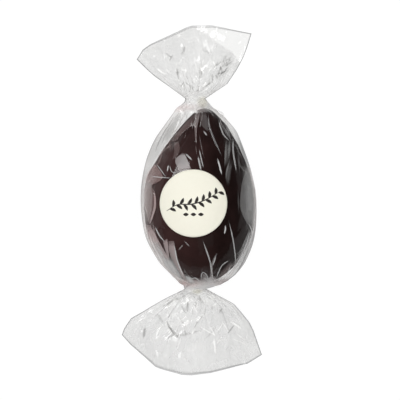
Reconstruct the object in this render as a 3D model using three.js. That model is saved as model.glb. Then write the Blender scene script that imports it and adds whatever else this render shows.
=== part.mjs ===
// A chocolate-covered marzipan egg in a clear wrapper that is twisted at both ends.
//
// Millimetres. The egg lies on its back with its round label up: +Z is up, +Y runs to the
// egg's pointed end and +X to the right of the label. The origin is on the surface that the
// egg lies on, under the middle of the whole wrapped sweet.
//
// Two pieces: the wrapper, one closed solid out to the film's outer shape with the egg in it,
// and the round label that is stuck on the film.
import * as THREE from 'three';
import { mergeVertices } from 'three/addons/utils/BufferGeometryUtils.js';

// The egg inside the wrapper, round about a line that runs along Y and leans a little to the
// right at the pointed end. Fullness is its radius over that of a circle through both ends.
const EGG = {
  bluntY: -36.7,
  pointedY: 41,
  x: 3.7,
  lean: 0.0014, // shift to the right for each square millimetre of Y above 0
  widest: 25, // the largest radius that the fullness gives
  widestY: -2,
};
const FULLNESS = [
  [-36.7, 0.58], [-27, 0.655], [-16, 0.677], [-9, 0.66], [0, 0.643],
  [8.8, 0.615], [22.2, 0.52], [28.9, 0.458], [35.6, 0.4], [41, 0.38],
];

// The wrapper.
const FILM_GAP = 0.35; // film and air over the chocolate where the film lies on it
const FLAT_DEPTH = 1; // how much the round underside is flattened where it rests
const NECK = { radius: 4.9, upperY: 45.2, lowerY: -39.4 };
const PLEATS = { count: 12, depth: 0.13, reach: 7, twist: 0.32 };

// Edges of the wrapper in plan, from the lower neck to the upper neck, as [y, x].
// The film stands off the chocolate most beside the pointed end, on the left.
const LEFT_EDGE = [
  [-39.4, -2.9], [-35, -8.6], [-26.9, -15.5], [-16, -20.6],
  [0, -22.7], [14, -21.3], [26.5, -17], [37.5, -9.8], [45.2, -3.6],
];
const RIGHT_EDGE = [
  [-39.4, 6.9], [-35, 17.6], [-26.9, 24.6], [-16, 28.5],
  [0, 29], [13, 27.1], [26.5, 22.2], [37.5, 14.7], [45.2, 6.2],
];

// The two flared ends in plan, as [x, y]: side edges from the neck out, and the rim between.
const UPPER_FAN = {
  left: [[-3.6, 45.2], [-13.8, 53.6], [-24.3, 62.9]],
  right: [[6.2, 45.2], [15.8, 51.6], [23, 63], [27.2, 74.3]],
  rim: [[-24.3, 62.9], [-18, 69.6], [-3, 76.7], [10, 77.7], [27.2, 74.3]],
  halfDepth: 6.2,
  ruffle: 2.2,
  phase: 0.6,
};
const LOWER_FAN = {
  left: [[-2.9, -39.4], [-15, -45.8], [-27, -52.8], [-30.9, -60.5]],
  right: [[6.9, -39.4], [17.6, -45.6], [26.4, -55.5], [31.7, -69]],
  rim: [[-30.9, -60.5], [-16.4, -73.6], [-3, -77.8], [13, -76.4], [31.7, -69]],
  halfDepth: 6.6,
  ruffle: 2.4,
  phase: 2.4,
};
const RUFFLES = 1.6; // waves of the flared film from its left edge to its right edge
const MOUTH = 2.5; // how far the gathered rim is hollowed between its front and back film

// The label.
const LABEL = { diameter: 29.6, thickness: 0.4, gap: 0.3, x: 1, y: -1.4 };

// Mesh fineness.
const AROUND = 72;
const BODY_RINGS = 32;
const FAN_RINGS = 10;
const LABEL_AROUND = 40;
const LABEL_RINGS = 5;

// A smooth function through a few [position, value] points, in rising order of position.
function smoothThrough(points) {
  const slopeAt = (index) => {
    const before = points[Math.max(index - 1, 0)];
    const after = points[Math.min(index + 1, points.length - 1)];
    return (after[1] - before[1]) / (after[0] - before[0]);
  };
  return (position) => {
    let index = 0;
    while (index < points.length - 2 && position > points[index + 1][0]) {
      index += 1;
    }
    const [start, startValue] = points[index];
    const [end, endValue] = points[index + 1];
    const span = end - start;
    const t = THREE.MathUtils.clamp((position - start) / span, 0, 1);
    const rise = endValue - startValue;
    const a = slopeAt(index) * span - rise;
    const b = rise - slopeAt(index + 1) * span;
    return startValue + rise * t + t * (1 - t) * (a * (1 - t) + b * t);
  };
}

// A smooth curve in plan through a few [x, y] points.
function planCurve(points) {
  return new THREE.SplineCurve(points.map(([x, y]) => new THREE.Vector2(x, y)));
}

const fullness = smoothThrough(FULLNESS);
const leftEdge = smoothThrough(LEFT_EDGE);
const rightEdge = smoothThrough(RIGHT_EDGE);

// Radius of the egg at a place along Y.
function eggRadius(y) {
  const inside = (y - EGG.bluntY) * (EGG.pointedY - y);
  return inside > 0 ? fullness(y) * Math.sqrt(inside) : 0;
}

// Middle of the egg at a place along Y.
function eggMiddle(y) {
  return EGG.x + EGG.lean * Math.max(y, 0) ** 2;
}

// Half height of the wrapper at a place along Y: on the egg where it bulges, and along the
// straight line that taut film takes from the egg to each neck.
function filmHalfHeight(y) {
  const neckY = y > EGG.widestY ? NECK.upperY : NECK.lowerY;
  const steps = 60;
  let height = eggRadius(y) + FILM_GAP;
  for (let step = 0; step <= steps; step += 1) {
    const from = EGG.widestY + (y - EGG.widestY) * (step / steps);
    const start = eggRadius(from) + FILM_GAP;
    const share = (y - from) / (neckY - from || 1);
    height = Math.max(height, start + (NECK.radius - start) * share);
  }
  return height;
}

// How strongly the film is gathered: 1 at a neck, fading out over the pleats' reach.
function gather(y) {
  const away = Math.min(Math.abs(y - NECK.upperY), Math.abs(y - NECK.lowerY));
  return Math.exp(-((away / PLEATS.reach) ** 2));
}

// Factor on the radius that makes the pleats, which run round the necks in a spiral.
function pleat(angle, y) {
  const neckY = y > EGG.widestY ? NECK.upperY : NECK.lowerY;
  const turn = PLEATS.twist * (y - neckY);
  return 1 - PLEATS.depth * gather(y) * (0.5 - 0.5 * Math.cos(PLEATS.count * angle + turn));
}

// Height of the wrapper's underside where it rests, measured from the egg's axis.
const UNDERSIDE = FLAT_DEPTH - (EGG.widest + FILM_GAP);

// A point of the wrapped body, at a place along Y and an angle from straight up.
function bodyPoint(y, angle) {
  const across = Math.sin(angle);
  const edge = across < 0 ? leftEdge(y) : rightEdge(y);
  const middle = THREE.MathUtils.lerp(
    (leftEdge(y) + rightEdge(y)) / 2,
    eggMiddle(y),
    THREE.MathUtils.clamp(eggRadius(y) / NECK.radius, 0, 1),
  );
  const fold = pleat(angle, y);
  const x = middle + Math.abs(edge - middle) * across * fold;
  const z = filmHalfHeight(y) * Math.cos(angle) * fold;
  return new THREE.Vector3(x, y, Math.max(z, UNDERSIDE));
}

// A point of a flared end: reach is 0 at the neck and 1 at the rim, and depth is 1 on the
// film and 0 on the line midway between the front and the back film.
function fanPoint(fan, reach, angle, depth) {
  const across = (1 + Math.sin(angle)) / 2;
  const left = fan.leftCurve.getPointAt(reach);
  const right = fan.rightCurve.getPointAt(reach);
  const straightRim = fan.leftEnd.clone().lerp(fan.rightEnd, across);
  const bow = fan.rimCurve.getPointAt(across).sub(straightRim);
  const plan = left.lerp(right, across).addScaledVector(bow, reach ** 2);
  const open = THREE.MathUtils.lerp(NECK.radius, fan.halfDepth, reach);
  const wave = fan.ruffle * reach * Math.sin(2 * Math.PI * RUFFLES * across + fan.phase);
  const fold = THREE.MathUtils.lerp(pleat(angle, plan.y), 1, reach);
  return new THREE.Vector3(plan.x, plan.y, open * fold * Math.cos(angle) * depth + wave);
}

// The curves of a flared end, made once from its named points.
function withCurves(fan) {
  return {
    ...fan,
    leftCurve: planCurve(fan.left),
    rightCurve: planCurve(fan.right),
    rimCurve: planCurve(fan.rim),
    leftEnd: new THREE.Vector2(...fan.left.at(-1)),
    rightEnd: new THREE.Vector2(...fan.right.at(-1)),
  };
}

// The rings of the wrapper from the lower rim to the upper rim, each a function of the angle.
// The first and the last ring close the gathered mouths along their middle lines.
function wrapperRings() {
  const lower = withCurves(LOWER_FAN);
  const upper = withCurves(UPPER_FAN);
  const rings = [];
  const mouth = (fan, outwards) => (angle) => {
    const point = fanPoint(fan, 1, angle, 0);
    point.y -= outwards * MOUTH * Math.cos(angle) ** 2;
    return point;
  };
  rings.push(mouth(lower, -1));
  for (let ring = FAN_RINGS; ring >= 1; ring -= 1) {
    rings.push((angle) => fanPoint(lower, ring / FAN_RINGS, angle, 1));
  }
  const middleY = (NECK.upperY + NECK.lowerY) / 2;
  const halfSpan = (NECK.upperY - NECK.lowerY) / 2;
  for (let ring = 0; ring <= BODY_RINGS; ring += 1) {
    const y = middleY - halfSpan * Math.cos((Math.PI * ring) / BODY_RINGS);
    rings.push((angle) => bodyPoint(y, angle));
  }
  for (let ring = 1; ring <= FAN_RINGS; ring += 1) {
    rings.push((angle) => fanPoint(upper, ring / FAN_RINGS, angle, 1));
  }
  rings.push(mouth(upper, 1));
  return rings;
}

// A lathe surface about Y whose rings are then moved to the places that the rings give.
function latheThrough(rings) {
  const last = rings.length - 1;
  const profile = rings.map((_, index) => {
    const radius = index === 0 || index === last ? 0 : 1;
    return new THREE.Vector2(radius, index);
  });
  const geometry = new THREE.LatheGeometry(profile, AROUND);
  const position = geometry.attributes.position;
  for (let index = 0; index < position.count; index += 1) {
    const step = Math.floor(index / rings.length) % AROUND;
    const ring = index % rings.length;
    // The mouths' middle lines are shared by the front and the back film.
    const onMiddle = ring === 0 || ring === last;
    const angle = (2 * Math.PI * step) / AROUND;
    const shared = onMiddle && Math.cos(angle) < 0 ? Math.PI - angle : angle;
    const point = rings[ring](shared);
    position.setXYZ(index, point.x, point.y, point.z);
  }
  return closed(geometry);
}

// Merges the vertices that lie on each other and leaves out triangles without area.
function closed(geometry) {
  geometry.deleteAttribute('normal');
  geometry.deleteAttribute('uv');
  const merged = mergeVertices(geometry, 1e-4);
  const source = merged.index.array;
  const kept = [];
  for (let index = 0; index < source.length; index += 3) {
    const [a, b, c] = source.slice(index, index + 3);
    if (a !== b && b !== c && c !== a) {
      kept.push(a, b, c);
    }
  }
  merged.setIndex(kept);
  merged.computeVertexNormals();
  return merged;
}

function wrapper() {
  const material = new THREE.MeshStandardMaterial({
    color: 0xe6e5e2,
    roughness: 0.12,
    metalness: 0,
  });
  const mesh = new THREE.Mesh(latheThrough(wrapperRings()), material);
  mesh.name = 'film_wrap';
  return mesh;
}

// Height of the film over the egg at a place in plan, measured from the egg's axis.
function filmTop(x, y) {
  const middle = eggMiddle(y);
  const edge = x < middle ? leftEdge(y) : rightEdge(y);
  const across = (x - middle) / Math.abs(edge - middle);
  return filmHalfHeight(y) * Math.sqrt(1 - across ** 2);
}

// The round label, a thin disc bent over the film.
function label() {
  const radius = LABEL.diameter / 2;
  const profile = [];
  for (let ring = 0; ring <= LABEL_RINGS; ring += 1) {
    profile.push(new THREE.Vector2((radius * ring) / LABEL_RINGS, 0));
  }
  for (let ring = LABEL_RINGS; ring >= 0; ring -= 1) {
    profile.push(new THREE.Vector2((radius * ring) / LABEL_RINGS, LABEL.thickness));
  }
  const geometry = new THREE.LatheGeometry(profile, LABEL_AROUND);
  const position = geometry.attributes.position;
  for (let index = 0; index < position.count; index += 1) {
    const x = LABEL.x + position.getX(index);
    const y = LABEL.y - position.getZ(index);
    const lift = LABEL.gap + position.getY(index);
    position.setXYZ(index, x, y, filmTop(x, y) + lift);
  }
  const material = new THREE.MeshStandardMaterial({
    color: 0xf6f4e5,
    roughness: 0.55,
    metalness: 0,
  });
  const mesh = new THREE.Mesh(closed(geometry), material);
  mesh.name = 'label';
  return mesh;
}

// Both pieces, set down on the surface under the middle of the wrapped sweet.
const group = new THREE.Group();
group.add(wrapper(), label());
const box = new THREE.Box3().setFromObject(group);
const centre = box.getCenter(new THREE.Vector3());
group.position.set(-centre.x, -centre.y, -box.min.z);

export default group;
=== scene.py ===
"""A chocolate-covered marzipan egg in clear film that is twisted at both ends.

The egg lies on its back with its round label up. The pieces are the egg, the film round it,
the folds that lie on the film, the label stuck on it and the ornament printed on the label.
All of them are drawn in millimetres about the egg's axis, and `Drawing` sets the drawing into
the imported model's box.
"""
import logging
import math
from dataclasses import dataclass, field
from enum import Enum
from functools import cached_property

import bpy
import numpy as np
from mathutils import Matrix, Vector
from mathutils.bvhtree import BVHTree
from mathutils.geometry import delaunay_2d_cdt


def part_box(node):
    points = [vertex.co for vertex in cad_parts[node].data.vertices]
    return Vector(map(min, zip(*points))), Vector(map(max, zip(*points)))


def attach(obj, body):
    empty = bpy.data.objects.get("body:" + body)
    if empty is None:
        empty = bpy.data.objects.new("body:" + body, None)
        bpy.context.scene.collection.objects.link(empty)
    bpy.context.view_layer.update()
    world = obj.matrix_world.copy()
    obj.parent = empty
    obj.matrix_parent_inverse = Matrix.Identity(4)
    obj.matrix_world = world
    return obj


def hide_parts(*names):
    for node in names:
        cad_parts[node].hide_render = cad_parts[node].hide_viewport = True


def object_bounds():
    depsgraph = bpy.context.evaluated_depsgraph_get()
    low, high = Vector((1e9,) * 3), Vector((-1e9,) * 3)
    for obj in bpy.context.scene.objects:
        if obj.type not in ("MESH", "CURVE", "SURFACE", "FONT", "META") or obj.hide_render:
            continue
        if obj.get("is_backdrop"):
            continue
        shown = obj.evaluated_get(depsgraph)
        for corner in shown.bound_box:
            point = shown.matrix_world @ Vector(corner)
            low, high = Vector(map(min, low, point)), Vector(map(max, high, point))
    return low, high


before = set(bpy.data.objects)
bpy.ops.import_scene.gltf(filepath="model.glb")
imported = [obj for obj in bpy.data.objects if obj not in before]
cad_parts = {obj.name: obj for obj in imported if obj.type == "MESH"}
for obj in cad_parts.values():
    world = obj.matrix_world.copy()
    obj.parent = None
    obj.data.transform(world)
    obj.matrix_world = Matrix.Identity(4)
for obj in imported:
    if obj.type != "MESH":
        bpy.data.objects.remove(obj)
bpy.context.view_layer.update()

METRES = 0.001
FULL_TURN = 2.0 * math.pi
log = logging.getLogger("wrapped_egg")

Colour = tuple[float, float, float]


class Node(Enum):
    """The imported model's nodes."""

    WRAPPER = "film_wrap"
    LABEL = "label"


class Slot(Enum):
    """The record's material slots."""

    FILM = "clear_film"
    PAPER = "label_paper"
    CHOCOLATE = "dark_chocolate"


class End(Enum):
    """The two ends of the wrapper: +1 is at the egg's pointed end and -1 at its blunt end."""

    POINTED = 1
    BLUNT = -1


# ------------------------------------------------------------------------------------------
# Small mathematics
# ------------------------------------------------------------------------------------------


def smooth(x: np.ndarray | float) -> np.ndarray:
    """Rises smoothly from 0 to 1 as x goes from 0 to 1."""
    t = np.clip(x, 0.0, 1.0)
    return t * t * (3.0 - 2.0 * t)


def blend(a: np.ndarray | float, b: np.ndarray | float, share: np.ndarray | float) -> np.ndarray:
    """Mixes a and b by share."""
    return a + (np.asarray(b) - a) * share


@dataclass(frozen=True)
class Profile:
    """A smooth function through a few (position, value) points."""

    points: tuple[tuple[float, float], ...]

    def __call__(self, position: np.ndarray) -> np.ndarray:
        """Reads the value at each position.

        Args:
            position: where to read, between the first and the last point.

        Returns:
            The values, as an array of the same shape.
        """
        at, value = np.array(self.points).T
        slope = np.gradient(value, at)
        slope[1:-1] = (value[2:] - value[:-2]) / (at[2:] - at[:-2])
        index = np.clip(np.searchsorted(at, position) - 1, 0, len(at) - 2)
        span = at[index + 1] - at[index]
        t = np.clip((position - at[index]) / span, 0.0, 1.0)
        rise = value[index + 1] - value[index]
        a = slope[index] * span - rise
        b = rise - slope[index + 1] * span
        return value[index] + rise * t + t * (1 - t) * (a * (1 - t) + b * t)


@dataclass(frozen=True)
class PlanCurve:
    """A smooth curve in plan through a few (x, y) points, read by its share of length."""

    points: tuple[tuple[float, float], ...]
    steps: int = 400

    def __call__(self, share: np.ndarray) -> tuple[np.ndarray, np.ndarray]:
        """Reads the curve.

        Args:
            share: 0 at the first point and 1 at the last.

        Returns:
            The x and the y values, as arrays of the same shape.
        """
        known = np.array(self.points)
        ends = np.vstack([known[:1], known, known[-1:]])
        at = np.linspace(0, len(known) - 1, self.steps)
        index = np.minimum(at.astype(int), len(known) - 2)
        t = (at - index)[:, None]
        p0, p1, p2, p3 = (ends[index + k] for k in range(4))
        v1, v2 = (p2 - p0) / 2, (p3 - p1) / 2
        curve = (
            (2 * p1 - 2 * p2 + v1 + v2) * t**3
            + (-3 * p1 + 3 * p2 - 2 * v1 - v2) * t**2
            + v1 * t
            + p1
        )
        length = np.append(0, np.cumsum(np.linalg.norm(np.diff(curve, axis=0), axis=1)))
        place = np.clip(share, 0, 1) * length[-1]
        return np.interp(place, length, curve[:, 0]), np.interp(place, length, curve[:, 1])


@dataclass(frozen=True)
class Polyline:
    """Straight lines in plan through (x, y) points, read by share of length."""

    points: tuple[tuple[float, float], ...]

    def __call__(self, share: np.ndarray) -> tuple[np.ndarray, np.ndarray]:
        """Reads the x and the y values at shares of the length, 0 at the first point."""
        known = np.array(self.points)
        length = np.append(0, np.cumsum(np.linalg.norm(np.diff(known, axis=0), axis=1)))
        place = np.clip(share, 0, 1) * length[-1]
        return np.interp(place, length, known[:, 0]), np.interp(place, length, known[:, 1])


@dataclass(frozen=True)
class Facets:
    """Flat facets with sharp creases: a height field on a triangulated scatter of points.

    Rows and columns are those of a closed grid: the columns go round and meet again.
    """

    rows: float
    columns: float
    jitter: float = 0.42

    def heights(self, shape: tuple[int, int], rng: np.random.Generator) -> np.ndarray:
        """Makes the height field.

        Args:
            shape: rows and columns of the grid to fill.
            rng: source of the scatter and the heights.

        Returns:
            Heights from 0 to 1 with the shape that was asked for.
        """
        across = max(3, round(shape[1] / self.columns))
        down = max(2, round(shape[0] / self.rows))
        step = shape[1] / across
        pitch = (shape[0] - 1) / down
        spots = []
        for row in range(-1, down + 2):
            for column in range(across):
                push = rng.uniform(-self.jitter, self.jitter, 2)
                place = (column + 0.5 * (row % 2) + push[0]) * step % shape[1]
                spots.append((place, (row + push[1]) * pitch, rng.uniform()))
        for place, row, height in list(spots):
            if place < 2 * step:
                spots.append((place + shape[1], row, height))
            if place > shape[1] - 2 * step:
                spots.append((place - shape[1], row, height))
        corners = [Vector((p, r)) for p, r, _ in spots]
        level = [h for _, _, h in spots]
        verts, _, faces, source, _, _ = delaunay_2d_cdt(corners, [], [], 0, 1e-6)
        known = [level[s[0]] for s in source]
        field_ = np.zeros(shape)
        for face in faces:
            self._fill(field_, [(*verts[k], known[k]) for k in face])
        return field_

    @staticmethod
    def _fill(target: np.ndarray, triangle: list[tuple[float, float, float]]) -> None:
        """Writes one flat triangle, given as (column, row, height) corners, into target."""
        (ax, ay, ah), (bx, by, bh), (cx, cy, ch) = triangle
        area = (bx - ax) * (cy - ay) - (cx - ax) * (by - ay)
        x0, x1 = math.ceil(min(ax, bx, cx)), math.floor(max(ax, bx, cx))
        y0, y1 = math.ceil(min(ay, by, cy)), math.floor(max(ay, by, cy))
        x0, y0 = max(x0, 0), max(y0, 0)
        x1, y1 = min(x1, target.shape[1] - 1), min(y1, target.shape[0] - 1)
        if abs(area) < 1e-9 or x1 < x0 or y1 < y0:
            return
        y, x = np.mgrid[y0 : y1 + 1, x0 : x1 + 1]
        b = ((x - ax) * (cy - ay) - (cx - ax) * (y - ay)) / area
        c = ((bx - ax) * (y - ay) - (x - ax) * (by - ay)) / area
        inside = (b >= -1e-9) & (c >= -1e-9) & (b + c <= 1 + 1e-9)
        part = target[y0 : y1 + 1, x0 : x1 + 1]
        part[inside] = (ah + b * (bh - ah) + c * (ch - ah))[inside]


# ------------------------------------------------------------------------------------------
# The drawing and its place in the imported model
# ------------------------------------------------------------------------------------------


@dataclass(frozen=True)
class Drawing:
    """Sets the drawing, in millimetres about the egg's axis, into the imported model's box."""

    scale: float
    shift: Vector

    @classmethod
    def fitted(cls, left: float, right: float, low: float, high: float, under: float) -> "Drawing":
        """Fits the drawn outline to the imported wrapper.

        Args:
            left, right, low, high: the drawn outline's limits in plan.
            under: height of the drawn underside.

        Returns:
            The drawing's scale and shift.
        """
        lowest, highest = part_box(Node.WRAPPER.value)
        scale = (highest.y - lowest.y) / (high - low)
        shift = Vector((
            (lowest.x + highest.x) / 2 - scale * (left + right) / 2,
            (lowest.y + highest.y) / 2 - scale * (low + high) / 2,
            lowest.z - scale * under,
        ))
        return cls(scale, shift)

    def place(self, points: np.ndarray) -> np.ndarray:
        """Takes drawn points, one to a row, to metres in the row frame."""
        return points * self.scale + np.array(self.shift)

    def back(self, point: Vector) -> Vector:
        """Takes a point of the row frame to the drawing."""
        return (point - self.shift) / self.scale


def mesh_piece(
    name: str,
    points: np.ndarray,
    faces: np.ndarray,
    drawing: Drawing,
    finish: bpy.types.Material,
    slot: Slot,
    **attributes: np.ndarray,
) -> bpy.types.Object:
    """Makes a smooth-shaded piece that rides on the model's one body.

    Args:
        name: the piece's name.
        points: drawn points, one to a row.
        faces: corner indices, one face to a row; a triangle repeats its last corner.
        drawing: takes the points to the row frame.
        finish: the piece's material.
        slot: the record's slot that the finish stands for; not used.
        **attributes: point attributes by name, one number for each point.

    Returns:
        The new object.
    """
    corners = [tuple(dict.fromkeys(face)) for face in faces.tolist()]
    mesh = bpy.data.meshes.new(name)
    mesh.from_pydata(drawing.place(points).tolist(), [], corners)
    mesh.polygons.foreach_set("use_smooth", np.ones(len(corners), dtype=bool))
    for key, values in attributes.items():
        layer = mesh.attributes.new(key, "FLOAT", "POINT")
        layer.data.foreach_set("value", values.ravel().astype(np.float32))
    mesh.materials.append(finish)
    mesh.update()
    piece = bpy.data.objects.new(name, mesh)
    bpy.context.scene.collection.objects.link(piece)
    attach(piece, "root")
    return piece


def grid_faces(rows: int, columns: int) -> np.ndarray:
    """Faces of a grid whose columns go round and meet, with normals to the outside."""
    row, column = np.mgrid[0 : rows - 1, 0:columns]
    beside = (column + 1) % columns
    corners = (row * columns + column, row * columns + beside)
    above = ((row + 1) * columns + beside, (row + 1) * columns + column)
    return np.stack([c.ravel() for c in corners + above], axis=1)


# ------------------------------------------------------------------------------------------
# Finishes
# ------------------------------------------------------------------------------------------


class Effects:
    """Shader node groups that more than one finish uses, each built once."""

    _made: dict[str, bpy.types.NodeTree] = {}

    @classmethod
    def _tree(cls, name: str, inputs: dict[str, float], outputs: tuple[str, ...]) -> tuple:
        """Starts a node group.

        Args:
            name: the group's name.
            inputs: float sockets and their defaults.
            outputs: float sockets.

        Returns:
            The group, its input node and its output node.
        """
        tree = bpy.data.node_groups.new(name, "ShaderNodeTree")
        for key, value in inputs.items():
            socket = tree.interface.new_socket(key, in_out="INPUT", socket_type="NodeSocketFloat")
            socket.default_value = value
        for key in outputs:
            tree.interface.new_socket(key, in_out="OUTPUT", socket_type="NodeSocketFloat")
        cls._made[name] = tree
        return tree, tree.nodes.new("NodeGroupInput"), tree.nodes.new("NodeGroupOutput")

    @classmethod
    def mottle(cls) -> bpy.types.NodeTree:
        """Soft cloudy variation: Amount around Middle, at Scale."""
        if "mottle" in cls._made:
            return cls._made["mottle"]
        tree, start, end = cls._tree("mottle", {"Scale": 100.0, "Middle": 0.5, "Amount": 0.2}, ("Value",))
        place = tree.nodes.new("ShaderNodeTexCoord")
        noise = tree.nodes.new("ShaderNodeTexNoise")
        noise.inputs["Detail"].default_value = 4.0
        spread = tree.nodes.new("ShaderNodeMath")
        spread.operation = "SUBTRACT"
        spread.inputs[1].default_value = 0.5
        amount = tree.nodes.new("ShaderNodeMath")
        amount.operation = "MULTIPLY_ADD"
        tree.links.new(place.outputs["Object"], noise.inputs["Vector"])
        tree.links.new(start.outputs["Scale"], noise.inputs["Scale"])
        tree.links.new(noise.outputs["Fac"], spread.inputs[0])
        tree.links.new(spread.outputs[0], amount.inputs[0])
        tree.links.new(start.outputs["Amount"], amount.inputs[1])
        tree.links.new(start.outputs["Middle"], amount.inputs[2])
        tree.links.new(amount.outputs[0], end.inputs["Value"])
        return tree


@dataclass
class Sheet:
    """A material's node tree with short ways to add and join nodes."""

    material: bpy.types.Material
    nodes: bpy.types.Nodes = field(init=False)
    links: bpy.types.NodeLinks = field(init=False)
    output: bpy.types.Node = field(init=False)

    def __post_init__(self) -> None:
        """Clears the tree down to its output."""
        self.material.use_nodes = True
        self.nodes = self.material.node_tree.nodes
        self.links = self.material.node_tree.links
        self.nodes.clear()
        self.output = self.nodes.new("ShaderNodeOutputMaterial")

    @classmethod
    def new(cls, name: str) -> "Sheet":
        """Starts a material."""
        return cls(bpy.data.materials.new(name))

    def add(
        self, kind: str, inputs: dict[str | int, object] | None = None, **settings: object
    ) -> bpy.types.Node:
        """Adds a node.

        Args:
            kind: the node's type without the leading "ShaderNode".
            inputs: socket values, or sockets to link from.
            **settings: the node's own properties.

        Returns:
            The node.
        """
        node = self.nodes.new("ShaderNode" + kind)
        for key, value in settings.items():
            setattr(node, key, value)
        for key, value in (inputs or {}).items():
            if isinstance(value, bpy.types.NodeSocket):
                self.links.new(value, node.inputs[key])
            else:
                node.inputs[key].default_value = value
        return node

    def math(self, operation: str, *values: object) -> bpy.types.NodeSocket:
        """Adds a Math node and returns its output."""
        return self.add("Math", dict(enumerate(values)), operation=operation).outputs[0]

    def group(self, tree: bpy.types.NodeTree, **inputs: object) -> bpy.types.NodeSocket:
        """Places a node group and returns its first output."""
        node = self.nodes.new("ShaderNodeGroup")
        node.node_tree = tree
        for key, value in inputs.items():
            node.inputs[key].default_value = value
        return node.outputs[0]

    def attribute(self, name: str) -> bpy.types.NodeSocket:
        """Reads a point attribute."""
        return self.add("Attribute", attribute_name=name).outputs["Fac"]

    def mix(self, share: object, first: Colour, second: Colour) -> bpy.types.NodeSocket:
        """Mixes two colours by a socket."""
        node = self.add("Mix", {0: share}, data_type="RGBA")
        node.inputs[6].default_value = (*first, 1.0)
        node.inputs[7].default_value = (*second, 1.0)
        return node.outputs[2]

    def finish(self, shader: bpy.types.NodeSocket) -> bpy.types.Material:
        """Joins the shader to the output and returns the material."""
        self.links.new(shader, self.output.inputs["Surface"])
        return self.material


@dataclass(frozen=True)
class FilmFinish:
    """Thin clear film: mirror-like at a slant, clear face on, cream where bunched; with painted shade and
    painted glints.
    """

    clear: Colour = (0.985, 0.985, 0.98)
    bunched: Colour = (0.95, 0.935, 0.86)
    veil: Colour = (0.78, 0.78, 0.78)
    # Painted brown light: the veil's colour where the chocolate would show through it.
    painted_brown_veil: Colour = (0.80, 0.50, 0.48)
    # Dark colour that painted shade takes the film towards, for its dark lines and grey margins.
    line: Colour = (0.05, 0.05, 0.055)
    face_on: float = 0.077
    slant_power: float = 3.5
    roughness: float = 0.05
    # Strength of the painted glint's glow.
    glow: float = 0.3

    def make(self) -> bpy.types.Material:
        """Builds the material."""
        sheet = Sheet.new("clear_film")
        # The shade attribute is painted shade: it darkens what shows through, the mirror and the veil.
        gathered, shade = sheet.attribute("gathered"), sheet.attribute("shade")
        slant = sheet.add("LayerWeight", {"Blend": 0.5}).outputs["Facing"]
        rise = sheet.math("POWER", slant, self.slant_power)
        mirror = sheet.math("MULTIPLY_ADD", rise, 1.0 - self.face_on, self.face_on)
        loose = sheet.math("SUBTRACT", 1.0, sheet.attribute("cling"))
        mirror = sheet.math("MULTIPLY", mirror, loose)
        share = sheet.math("MINIMUM", sheet.math("MULTIPLY_ADD", gathered, 0.12, mirror), 1.0)
        tint = self._darkened(sheet, shade, sheet.mix(gathered, self.clear, self.bunched))
        clear = sheet.add("BsdfTransparent", {"Color": tint})
        gloss = sheet.add("BsdfPrincipled", {
            "Base Color": tint,
            "Metallic": 1.0,
            "Roughness": self.roughness,
        })
        film = sheet.add("MixShader", {0: share, 1: clear.outputs[0], 2: gloss.outputs[0]})
        # Painted light: the veil turns brown where the chocolate would show through, more on the lit left.
        cloud = sheet.mix(sheet.attribute("warmth"), self.veil, self.painted_brown_veil)
        veil = sheet.add("BsdfDiffuse", {"Color": self._darkened(sheet, shade, cloud)})
        cloudy = sheet.add("MixShader", {
            0: sheet.attribute("haze"),
            1: film.outputs[0],
            2: veil.outputs[0],
        })
        # Painted highlight: the glint attribute makes the film glow white, though it is no lamp.
        strength = sheet.math("MULTIPLY", sheet.attribute("gleam"), self.glow)
        gleam = sheet.add("Emission", {"Color": (1.0, 1.0, 1.0, 1.0), "Strength": strength})
        lit = sheet.add("AddShader", {0: cloudy.outputs[0], 1: gleam.outputs[0]})
        return sheet.finish(lit.outputs[0])

    def _darkened(
        self, sheet: Sheet, shade: bpy.types.NodeSocket, colour: bpy.types.NodeSocket,
    ) -> bpy.types.NodeSocket:
        """Paints shade: takes a colour towards the dark line colour by the painted shade."""
        node = sheet.add("Mix", {0: shade, 6: colour}, data_type="RGBA")
        node.inputs[7].default_value = (*self.line, 1.0)
        return node.outputs[2]


@dataclass(frozen=True)
class ChocolateFinish:
    """Dark chocolate with a satin skin; painted light makes it paler on the left, where the key light
    falls.
    """

    # Painted light: a lit brown for the left side and a shaded brown for the right side.
    painted_lit_colour: Colour = (0.060, 0.027, 0.026)
    dark: Colour = (0.0120, 0.0052, 0.0046)
    painted_lit_x: float = -0.022
    painted_shade_x: float = 0.020

    def make(self) -> bpy.types.Material:
        """Builds the material."""
        sheet = Sheet.new("dark_chocolate")
        place = sheet.add("TexCoord").outputs["Object"]
        along = sheet.add("SeparateXYZ", {0: place}).outputs["X"]
        # Painted light: blends from the lit brown on the left to the shaded brown on the right, with a
        # random mottle on top.
        side = sheet.add("MapRange", {
            "Value": along,
            "From Min": self.painted_lit_x,
            "From Max": self.painted_shade_x,
        }, interpolation_type="SMOOTHSTEP").outputs["Result"]
        cloud = sheet.group(Effects.mottle(), Scale=140.0, Middle=0.0, Amount=0.7)
        share = sheet.add("Math", {0: side, 1: cloud}, operation="ADD", use_clamp=True).outputs[0]
        rough = sheet.group(Effects.mottle(), Scale=160.0, Middle=0.42, Amount=0.25)
        relief = sheet.group(Effects.mottle(), Scale=420.0, Middle=0.5, Amount=1.0)
        bump = sheet.add("Bump", {"Strength": 0.12, "Distance": 0.0004, "Height": relief})
        skin = sheet.add("BsdfPrincipled", {
            "Base Color": sheet.mix(share, self.painted_lit_colour, self.dark),
            "Roughness": rough,
            "Specular IOR Level": 0.1,
            "Normal": bump.outputs[0],
        })
        return sheet.finish(skin.outputs[0])


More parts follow.
